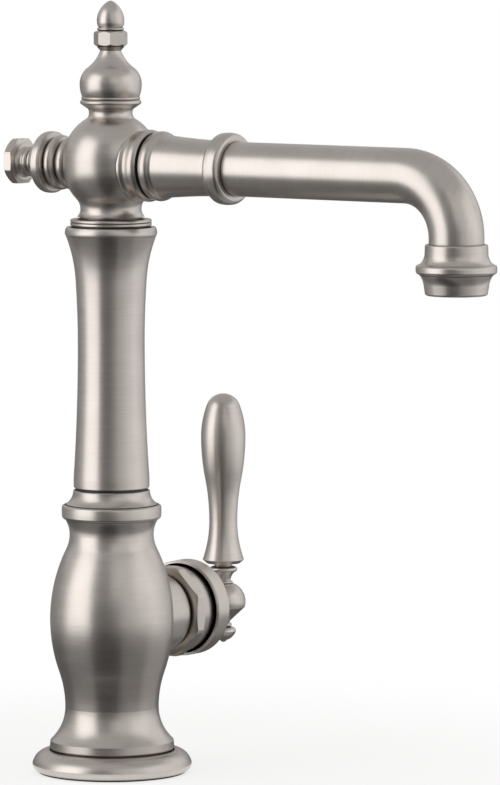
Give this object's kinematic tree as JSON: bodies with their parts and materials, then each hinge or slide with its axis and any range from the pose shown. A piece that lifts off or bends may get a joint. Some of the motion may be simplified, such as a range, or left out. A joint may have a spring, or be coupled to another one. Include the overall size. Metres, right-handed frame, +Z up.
{
  "type": "single-lever bar faucet",
  "caption": "Traditional single-lever bar faucet: turned baluster body and column that swivels, straight spout with short elbow, side lever, finial.",
  "frame": {"origin": "middle of the flat underside, on the deck, on the column's axis", "axes": "+Z up along the column, spout points to -Y, valve and lever to +X, rear plug to +Y"},
  "size_m": [0.1275, 0.2439, 0.332],
  "materials": {
    "brushed_nickel": "brushed",
    "bare_brass": "machined",
    "black_rubber": "matte",
    "black_acetal": "satin",
    "grey_acetal": "satin",
    "alumina_ceramic": "polished",
    "stainless_steel": "machined"
  },
  "bodies": {
    "base": {"deck_gasket": "black_rubber", "base_flange": "brushed_nickel", "body_shell": "brushed_nickel", "valve_block": "bare_brass", "swivel_collar": "brushed_nickel", "swivel_post": "bare_brass", "post_o_rings": "black_rubber", "swivel_washer": "black_acetal", "post_clip": "stainless_steel", "cartridge_base": "bare_brass", "cartridge_seals": "black_rubber", "fixed_disc": "alumina_ceramic", "cartridge_sleeve": "grey_acetal", "bonnet_nut": "brushed_nickel"},
    "spout": {"column_sleeve": "brushed_nickel", "lower_bushing": "black_acetal", "upper_bushing": "black_acetal", "column_cap_ring": "brushed_nickel", "hub_ball": "brushed_nickel", "finial_stud": "stainless_steel", "finial_bulb": "brushed_nickel", "finial_nut": "brushed_nickel", "finial_acorn": "brushed_nickel", "rear_plug_collar": "brushed_nickel", "rear_plug_screw": "brushed_nickel", "spout_seat_ring": "brushed_nickel", "spout_sleeve": "brushed_nickel", "spout_ferrule": "brushed_nickel", "spout_nipple": "bare_brass", "spout_tube": "brushed_nickel", "outlet_collar": "brushed_nickel", "aerator_housing": "brushed_nickel", "aerator_insert": "grey_acetal", "aerator_washer": "black_rubber", "spout_o_ring": "black_rubber"},
    "mixer": {"disc_carrier": "grey_acetal", "pivot_pin": "stainless_steel"},
    "disc": {"moving_disc": "alumina_ceramic", "disc_driver": "grey_acetal"},
    "lever": {"cartridge_spindle": "stainless_steel", "handle_skirt": "brushed_nickel", "handle_set_screw": "stainless_steel", "handle_hub": "brushed_nickel", "lever_stud": "stainless_steel", "lever_neck_ring": "brushed_nickel", "lever_grip": "brushed_nickel", "hub_drop_finial": "brushed_nickel"}
  },
  "joints": [
    {"name": "spout_swivel", "type": "hinge", "parent": "base", "child": "spout", "pos_m": [0, 0, 0.1231], "axis": [0, 0, 1], "continuous": true},
    {"name": "temperature", "type": "hinge", "parent": "base", "child": "mixer", "pos_m": [0.044, 0, 0.0655], "axis": [1, 0, 0], "range_deg": [-45, 45]},
    {"name": "flow", "type": "hinge", "parent": "mixer", "child": "lever", "pos_m": [0.044, 0, 0.0655], "axis": [0, 1, 0], "range_deg": [0, 20]},
    {"name": "disc_slide", "type": "slide", "parent": "mixer", "child": "disc", "axis": [0, 0, 1], "range_m": [0, 0.00314]}
  ],
  "couplings": [
    {"joint": "disc_slide", "follows": "flow", "m_per_rad": 0.0087}
  ]
}
